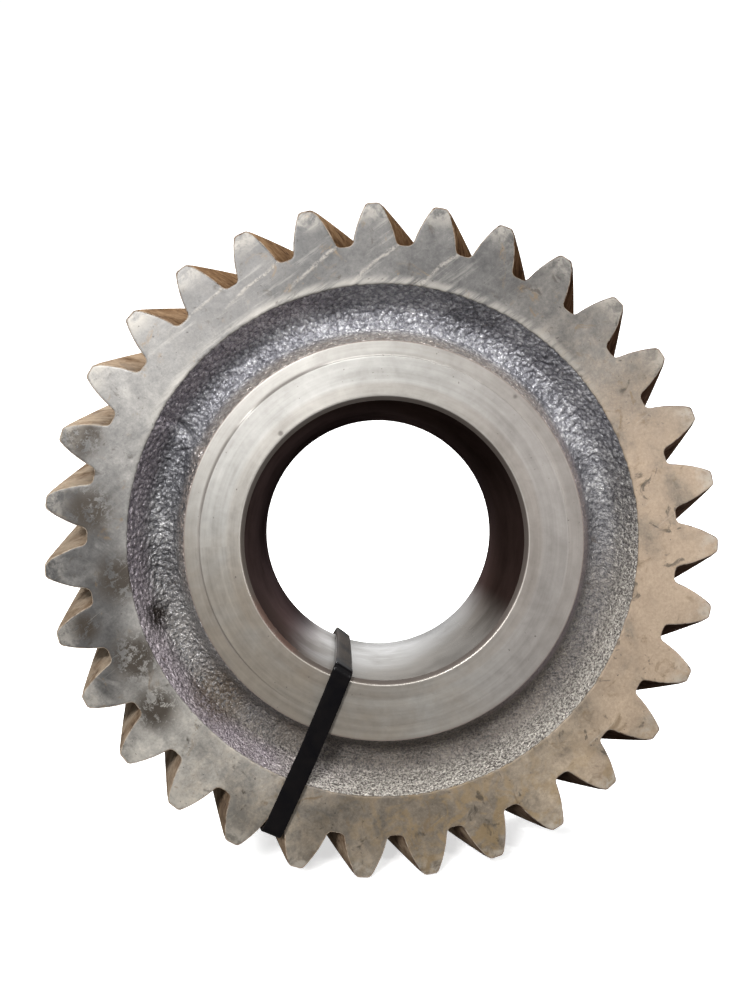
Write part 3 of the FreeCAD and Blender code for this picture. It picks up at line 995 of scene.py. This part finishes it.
def flank_material():
    s = Shade("flank_steel")
    cloud = s.noise(9.0, 5.0, 0.6, 0.8)
    mottle = s.noise(1.6, 5.0, 0.7, 0.5, shift=13.0)
    grain = s.noise(0.3, 3.0, 0.6)
    s.colour = s.ramp(
        s.add(s.times(cloud, 0.6), s.times(mottle, 0.4)),
        (0.36, (0.110, 0.076, 0.052)),
        (0.50, (0.245, 0.172, 0.114)),
        (0.64, (0.430, 0.330, 0.235)),
    )
    oil = s.times(s.step(s.noise(5.0, 4.0, 0.6, 1.0, shift=29.0), 0.55, 0.68), 0.7)
    s.paint(oil, (0.060, 0.036, 0.032))
    # Browner flanks towards the top, darkened further as painted shade.
    top = s.region(0.92, z=(15, 62))
    s.tint(top, (0.58, 0.475, 0.365))
    left = s.region(0.7, s.step(cloud, 0.34, 0.60), x=(-34, -64), z=(66, 30))
    s.paint(left, s.mix(mottle, (0.225, 0.178, 0.128), (0.400, 0.336, 0.262)))
    # Painted shade: the flanks darker down in the gap roots.
    root = s.region(0.55, radius=(73.5, 70.2))
    s.tint(root, (0.50, 0.45, 0.40))
    # Painted shade: the flanks on the right darker, where they face away from the light.
    right = s.region(0.8, x=(10, 55))
    s.tint(right, (0.36, 0.27, 0.29))
    front_end = s.step(s.y, FRONT + 0.5, FRONT + 0.1)
    ends = s.most(front_end, s.step(s.y, RIM_BACK - 0.5, RIM_BACK - 0.1))
    s.paint(s.times(ends, s.step(mottle, 0.35, 0.6), 0.6), (0.44, 0.39, 0.33))
    height = s.add(s.times(grain, 0.4), s.times(mottle, 0.6))
    return s.finish(
        Base_Color=s.colour,
        Metallic=0.0,
        Specular_IOR_Level=0.0,
        Roughness=s.add(s.times(mottle, 0.30), 0.35),
        Normal=s.bump(height, 0.05),
    )


def skin_material():
    s = Shade("forged_skin")
    broad = s.noise(14.0, 4.0, 0.6, 0.5)
    warp = s.node("ShaderNodeTexNoise")
    s.put(warp.inputs["Vector"], s.place)
    warp.inputs["Scale"].default_value = 0.6
    bent = s.node("ShaderNodeVectorMath", s.place, s.scaled(warp.outputs["Color"], 1.2)).outputs[0]
    pebble = s.cells(1.10, bent)
    small = s.cells(0.48, bent)
    grit = s.noise(0.34, 3.0, 0.65)
    speck = s.noise(0.52, 3.0, 0.75, 0.4, shift=37.0)
    wrinkle = s.noise(1.3, 3.0, 0.6, 1.6, shift=17.0)
    tone = s.add(s.times(broad, 0.42), s.times(wrinkle, 0.24), s.times(speck, 0.34))
    s.colour = s.ramp(
        tone,
        (0.41, (0.085, 0.084, 0.090)),
        (0.50, (0.195, 0.194, 0.202)),
        (0.59, (0.370, 0.366, 0.364)),
    )
    # Painted light: the skin much lighter in the upper part of the recess.
    upper = s.region(0.65, z=(5, 45))
    s.tint(upper, (2.60, 2.61, 2.70))
    # Painted light: the skin lighter towards the right.
    rightward_light = s.region(0.8, x=(5, 40), z=(40, 5))
    s.tint(rightward_light, (1.45, 1.44, 1.43))
    salted = s.step(speck, 0.38, 0.62)
    lower = s.step(s.z, 20, -25)
    salt = s.mix(salted, s.dyed((0.55, 0.54, 0.53)), (0.360, 0.322, 0.282))
    s.paint(s.times(lower, 0.5), salt)
    sand_way = s.add(s.times(s.z, -0.012), s.times(s.x, 0.003), s.times(broad, 0.9), -0.45)
    sand = s.times(s.step(sand_way, 0.05, 0.65), 0.85)
    s.tint(sand, (0.44, 0.385, 0.330))
    # Painted shade on the outer wall at the left, in a speckled violet tone.
    wall = s.step(s.radius, 56.8, 59.4)
    left_wall = s.times(wall, s.step(s.x, 0, -25), 0.65)
    violet = s.mix(salted, (0.240, 0.195, 0.224), (0.720, 0.630, 0.680))
    s.paint(left_wall, violet)
    # Painted light: the outer wall lighter and speckled towards the lower right, where it faces the
    # light.
    wall_light_way = s.add(s.times(s.x, 0.010), s.times(s.z, -0.014), s.times(broad, 0.5), -0.45)
    pale = s.region(0.85, s.step(wall_light_way, 0.0, 0.45), radius=(56, 60))
    s.paint(pale, s.mix(salted, (0.130, 0.112, 0.098), (0.860, 0.810, 0.730)))
    # Painted shade: darker in the hollows between the pebbles, towards the top.
    hollow_shade = s.times(s.step(pebble, 0.36, 0.62), s.step(s.z, -30, 5), 0.7)
    s.tint(hollow_shade, (0.34, 0.34, 0.37))
    hub_side = s.region(0.55, radius=(52, 49), x=(15, 38))
    s.paint(hub_side, (0.270, 0.215, 0.240))
    edge = s.times(
        s.step(s.radius, 51.5, 48.2), s.step(wrinkle, 0.38, 0.56), s.step(s.z, -20, 0), 0.6
    )
    s.paint(edge, (0.400, 0.320, 0.265))
    # Beige pebbles beside the hub edge at the top, with painted shade in their hollows.
    beside = s.region(0.65, radius=(52.5, 49.5), z=(15, 38))
    s.paint(beside, s.mix(hollow_shade, (0.500, 0.440, 0.380), (0.190, 0.160, 0.135)))
    crust = s.times(s.step(s.noise(3.0, 5.0, 0.7, 1.0, shift=41.0), 0.62, 0.70), 0.6)
    s.paint(crust, (0.100, 0.070, 0.050))
    # Painted highlights: small bright glints on the tops of the pebbles.
    glint_spots = s.step(s.noise(0.60, 2.0, 0.6, shift=51.0), 0.58, 0.66)
    painted_glints = s.times(glint_spots, s.step(s.z, -5, 35), s.step(pebble, 0.45, 0.25), 0.5)
    s.paint(painted_glints, (0.830, 0.830, 0.840))
    blot = s.times(s.near(196.5, 59.0, FRONT + 7, 6.0), s.step(wrinkle, 0.35, 0.5))
    s.paint(blot, (0.020, 0.013, 0.010))
    grime = s.times(s.near(221, 56.0, FRONT + 8, 11.0), s.step(wrinkle, 0.38, 0.52), 0.75)
    s.paint(grime, (0.095, 0.066, 0.040))
    coarse = s.step(s.add(s.times(s.z, 0.9), s.times(s.x, -0.45)), -38.0, 12.0)
    sandy = s.add(s.times(coarse, -1.0), 1.0)
    height = s.add(
        s.times(pebble, s.add(s.times(coarse, -0.95), -0.30)),
        s.times(small, s.add(s.times(sandy, -0.20), -0.25)),
        s.times(grit, s.add(s.times(sandy, 0.16), 0.14)),
        s.times(speck, s.add(s.times(sandy, 0.14), 0.16)),
    )
    relief = s.bump(height, 0.62)
    return s.finish(
        Base_Color=s.colour,
        Metallic=0.30,
        Roughness=s.add(s.times(grit, 0.30), s.times(sandy, 0.20), 0.18),
        Normal=relief,
        Coat_Weight=s.add(s.times(coarse, 0.32), 0.15),
        Coat_Roughness=0.14,
        Coat_Normal=relief,
    )


def hub_material():
    s = Shade("turned_steel")
    groove_at = s.vector(s.times(s.radius, 3.2), s.times(s.y, 0.4), s.times(s.turn, 2.2))
    groove = s.noise(1.0, 5.0, 0.7, at=groove_at)
    wide_at = s.vector(s.times(s.radius, 0.75), s.times(s.y, 0.4), s.times(s.turn, 1.1))
    wide = s.noise(1.0, 3.0, 0.6, at=wide_at, shift=9.0)
    cloud = s.noise(13.0, 5.0, 0.6, 0.6)
    mottle = s.noise(2.0, 5.0, 0.65, 0.5, shift=23.0)
    grain = s.noise(0.22, 2.0, 0.6)
    mixed = s.add(s.times(cloud, 0.45), s.times(wide, 0.35), s.times(mottle, 0.2))
    s.colour = s.ramp(
        mixed,
        (0.36, (0.315, 0.303, 0.282)),
        (0.50, (0.405, 0.393, 0.370)),
        (0.64, (0.496, 0.484, 0.458)),
    )
    # Painted shade: the hub face darker and browner towards the lower left, in cloudy patches.
    darkening = s.add(s.times(s.x, -0.011), s.times(s.z, -0.014), s.times(cloud, 1.2), -0.62)
    painted_shade = s.times(s.step(darkening, 0.0, 0.9), 0.9)
    s.tint(painted_shade, (0.58, 0.51, 0.43))
    # Painted shade: the hub face darker on the right.
    right = s.region(0.9, x=(2, 38))
    s.tint(right, (0.77, 0.725, 0.712))
    inner = s.region(0.35, radius=(38.2, 36.8))
    s.tint(inner, (0.74, 0.66, 0.58))
    outer = s.region(0.35, radius=(43.5, 43.9), z=(-34, -16))
    s.tint(outer, (0.76, 0.72, 0.68))
    # Painted shade: a patchy dark line along the step, on the left and away from the bottom.
    worn = s.step(s.noise(19.0, 3.0, 0.5, shift=61.0), 0.40, 0.60)
    line = s.times(s.step(s.radius, 43.3, 43.7), s.step(s.radius, 44.6, 43.95), worn)
    line = s.times(line, s.step(s.x, 14, -20), s.step(s.z, -34, -18), 0.7)
    s.paint(line, (0.17, 0.15, 0.135))
    lip = s.region(0.8, radius=(47.05, 47.4))
    s.paint(lip, (0.230, 0.180, 0.160))
    bevel = s.region(0.85, radius=(34.25, 34.05))
    s.paint(bevel, (0.090, 0.070, 0.060))
    # Painted highlight: a thin light line on the edge of the bore's chamfer.
    ridge = s.times(s.step(s.radius, 34.15, 34.3), s.step(s.radius, 34.55, 34.4), 0.3)
    s.paint(ridge, (0.66, 0.62, 0.57))
    burr = s.times(
        s.most(s.near(210, 33.7, FRONT, 7.5), s.near(223, 33.7, FRONT, 6.0)),
        s.step(s.radius, 34.5, 34.1),
        0.8,
    )
    s.paint(burr, (0.120, 0.066, 0.050))
    spots = s.most(
        s.near(132.3, 35.2, FRONT, 0.9),
        s.near(45.8, 46.1, FRONT, 0.8),
        s.step(s.noise(1.1, 2.0, 0.5, 0.2, shift=3.0), 0.74, 0.78),
    )
    s.paint(s.times(spots, 0.75), (0.10, 0.085, 0.075))
    height = s.add(s.times(groove, 0.55), s.times(grain, 0.15), s.times(spots, -0.8))
    rough = s.add(s.times(groove, 0.22), s.times(mottle, 0.18), s.times(lip, 0.35))
    rough = s.add(rough, s.times(line, 0.5), 0.22)
    return s.finish(
        Base_Color=s.colour,
        Metallic=0.50,
        Roughness=rough,
        Normal=s.bump(height, 0.02),
    )


def bore_material():
    s = Shade("ground_bore")
    ring_at = s.vector(s.times(s.y, 1.6), s.times(s.turn, 1.6), 0.0)
    rings = s.noise(1.0, 5.0, 0.65, at=ring_at)
    cloud = s.noise(13.0, 3.0, 0.5)
    s.colour = s.ramp(
        s.add(s.times(rings, 0.25), s.times(cloud, 0.75)),
        (0.34, (0.520, 0.500, 0.470)),
        (0.48, (0.760, 0.750, 0.730)),
        (0.62, (0.960, 0.955, 0.945)),
    )
    # Painted shade: the bore dyed dark all round except along its bottom.
    floor = s.times(s.step(s.z, -15, -30), s.step(s.x, -27, -8))
    s.colour = s.mix(floor, s.dyed((0.092, 0.062, 0.060)), s.colour)
    # Painted shade: darker further into the bore, on its left, off the bottom.
    deep = s.times(s.step(s.y, -18, 18), s.step(floor, 0.5, 0.0), s.step(s.x, 10, -10), 0.9)
    s.tint(deep, (0.30, 0.30, 0.32))
    # Browner and darker towards the front and the right, in cloudy patches.
    darkening = s.add(s.times(s.y, -0.030), s.times(s.x, 0.020), s.times(cloud, 1.4), -0.55)
    darkening = s.times(s.step(darkening, 0.0, 0.70), 0.9)
    s.tint(darkening, (0.47, 0.43, 0.385))
    # Painted shade: the bore darker on the right.
    dimmer = s.region(0.35, x=(4, 26))
    s.tint(dimmer, (0.56, 0.55, 0.54))
    stain = s.times(s.near(216, 33.3, -16.0, 11.0), s.step(cloud, 0.40, 0.55), 0.7)
    s.paint(stain, (0.060, 0.042, 0.036))
    return s.finish(
        Base_Color=s.colour,
        Metallic=s.times(floor, 0.85),
        Specular_IOR_Level=0.0,
        Roughness=s.add(s.times(rings, 0.10), 0.17),
        Normal=s.bump(rings, 0.001),
    )


def nylon_material():
    s = Shade("black_nylon")
    grain = s.noise(0.5, 3.0, 0.6)
    cloud = s.noise(5.0, 4.0, 0.6, 0.5)
    dust = s.times(s.step(s.noise(1.4, 5.0, 0.7, 0.8, shift=7.0), 0.62, 0.80), 0.22)
    s.colour = s.ramp(cloud, (0.3, (0.003, 0.003, 0.004)), (0.7, (0.007, 0.006, 0.006)))
    s.paint(dust, (0.045, 0.034, 0.028))
    # Painted reflection: the strap brownish grey where it runs inside the bore, in cloudy patches.
    bore_sheen = s.times(
        s.step(s.radius, 35.5, 33.5), s.step(s.y, -23.5, -19.0), s.step(cloud, 0.3, 0.6)
    )
    s.paint(s.times(bore_sheen, 0.7), (0.060, 0.046, 0.036))
    return s.finish(
        Base_Color=s.colour,
        Roughness=s.add(s.times(cloud, 0.16), s.times(dust, 0.40), 0.13),
        Specular_IOR_Level=0.15,
        Normal=s.bump(s.add(s.times(grain, 0.5), s.times(cloud, 0.5)), 0.015),
    )


# ---------------------------------------------------------------- build
RIM = rim_material()
FLANK = flank_material()
SKIN = skin_material()
HUB = hub_material()
BORE = bore_material()
NYLON = nylon_material()

skin_rings = gear_mesh()
gear = mesh_object(
    "gear_forging",
    skin_rings.points,
    skin_rings.faces,
    [RIM, FLANK, SKIN, HUB, BORE],
    skin_rings.slots,
)
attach(gear, "gear")
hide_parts("gear")

strap = mesh_object("tie_band", *capped(strap_mesh()), [NYLON], sharp=40)
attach(strap, "gear")
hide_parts("tie_strap", "tie_tail")
head = make_head()
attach(head, "gear")
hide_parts("tie_head")
pawl = make_pawl()
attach(pawl, "pawl")
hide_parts("tie_pawl")


# ---------------------------------------------------------------- stage, light and camera
def bowl():
    """A pale floor that curves up into a wall all round."""
    profile = [(420.0, 0.0)]
    for i in range(1, 13):
        turn = math.radians(90 * i / 12)
        profile.append((420 + 480 * math.sin(turn), 480 * (1 - math.cos(turn))))
    profile.append((900.0, 1300.0))
    count = 96
    points = []
    for radius, height in profile:
        points += [(x, y, height - TIP_R) for x, _, y in circle(radius, 0.0, count)]
    faces = tube_faces(len(profile), count)
    faces.append(tuple(range(count)))
    return points, faces


paper = Shade("paper")
paper.finish(
    Base_Color=paper.mix(paper.noise(300.0), (0.90, 0.90, 0.90), (0.93, 0.93, 0.92)),
    Roughness=0.9,
    Emission_Color=(1.0, 1.0, 1.0),
    Emission_Strength=0.6,
)
backdrop = mesh_object("backdrop", *bowl(), [paper.material], sharp=60)
backdrop.visible_glossy = False
backdrop.visible_diffuse = False
backdrop.visible_shadow = False

world = bpy.data.worlds.new("studio")
bpy.context.scene.world = world
world.use_nodes = True
tree = world.node_tree
tree.nodes.clear()
way = tree.nodes.new("ShaderNodeTexCoord")
split = tree.nodes.new("ShaderNodeSeparateXYZ")
shade = tree.nodes.new("ShaderNodeMapRange")
shade.interpolation_type = "SMOOTHSTEP"
shade.inputs["From Min"].default_value = -0.02
shade.inputs["From Max"].default_value = 0.34
shade.inputs["To Min"].default_value = 0.13
shade.inputs["To Max"].default_value = 0.62
glow = tree.nodes.new("ShaderNodeBackground")
sky = tree.nodes.new("ShaderNodeOutputWorld")
tree.links.new(way.outputs["Generated"], split.inputs[0])
tree.links.new(split.outputs["Z"], shade.inputs["Value"])
tree.links.new(shade.outputs[0], glow.inputs["Strength"])
tree.links.new(glow.outputs[0], sky.inputs[0])


def soft_light(name, place, size, power):
    """A round lamp that shines on the middle of the gear."""
    data = bpy.data.lights.new(name, "AREA")
    data.shape = "DISK"
    data.size = size * MM
    data.energy = power
    lamp = bpy.data.objects.new(name, data)
    bpy.context.scene.collection.objects.link(lamp)
    lamp.location = Vector(place) * MM
    lamp.rotation_mode = "QUATERNION"
    lamp.rotation_quaternion = (-Vector(place)).to_track_quat("-Z", "Y")


soft_light("key", (-230, -650, 330), 190, 5.3)
soft_light("glint", (150, -600, 520), 50, 1.3)
soft_light("side_fill", (470, -560, 60), 300, 1.2)
soft_light("back_fill", (40, 540, 740), 420, 13.0)

# The camera stands close in front of the gear, a little above its middle and turned slightly.
# The bore's front edge is centred this far to its right, up and ahead.
YAW = math.radians(-1.69)
PITCH = math.radians(-0.187)
ROLL = math.radians(2.04)
BORE_RIGHT = 2.08
BORE_UP = -9.67
BORE_AHEAD = 175.62
right = Vector((math.cos(YAW), math.sin(YAW), 0))
forward = Vector(
    (-math.cos(PITCH) * math.sin(YAW), math.cos(PITCH) * math.cos(YAW), math.sin(PITCH))
)
up = right.cross(forward)
eye = Vector((0, FRONT, 0)) - right * BORE_RIGHT - up * BORE_UP - forward * BORE_AHEAD
rolled_right = right * math.cos(ROLL) - up * math.sin(ROLL)
rolled_up = right * math.sin(ROLL) + up * math.cos(ROLL)
pose = Matrix((rolled_right, rolled_up, -forward)).transposed().to_4x4()
pose.translation = eye * MM
camera = bpy.data.objects.new("camera", bpy.data.cameras.new("camera"))
bpy.context.scene.collection.objects.link(camera)
camera.data.sensor_width = 36
camera.data.lens = 26.75
camera.data.clip_start = 0.01
camera.data.clip_end = 10
camera.matrix_world = pose
bpy.context.scene.camera = camera
bpy.context.scene.view_settings.view_transform = "Standard"
